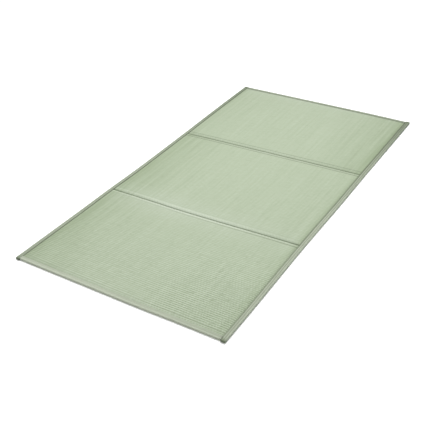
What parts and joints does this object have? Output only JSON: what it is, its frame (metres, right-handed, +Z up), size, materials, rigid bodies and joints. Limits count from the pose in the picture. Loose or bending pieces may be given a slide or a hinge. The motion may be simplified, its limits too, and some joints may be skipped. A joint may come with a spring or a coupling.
{
  "type": "tatami mat",
  "caption": "Thin folding rush floor mat, laid open and flat: woven rush panels hinged by sewn folds, with cloth binding tape round the edges.",
  "frame": {"origin": "middle of the mat's underside, on the floor", "axes": "+X across the mat to its right long side, +Y along it from the near short end to the far one, +Z up"},
  "size_m": [1.01, 2.006, 0.012],
  "materials": {
    "rush": "woven rush, dry satin",
    "binding_cloth": "woven cloth tape, matte"
  },
  "bodies": {
    "root": {"panel_near": "rush", "panel_middle": "rush", "panel_far": "rush", "binding_left": "binding_cloth", "binding_right": "binding_cloth", "binding_near": "binding_cloth", "binding_far": "binding_cloth"}
  },
  "joints": []
}
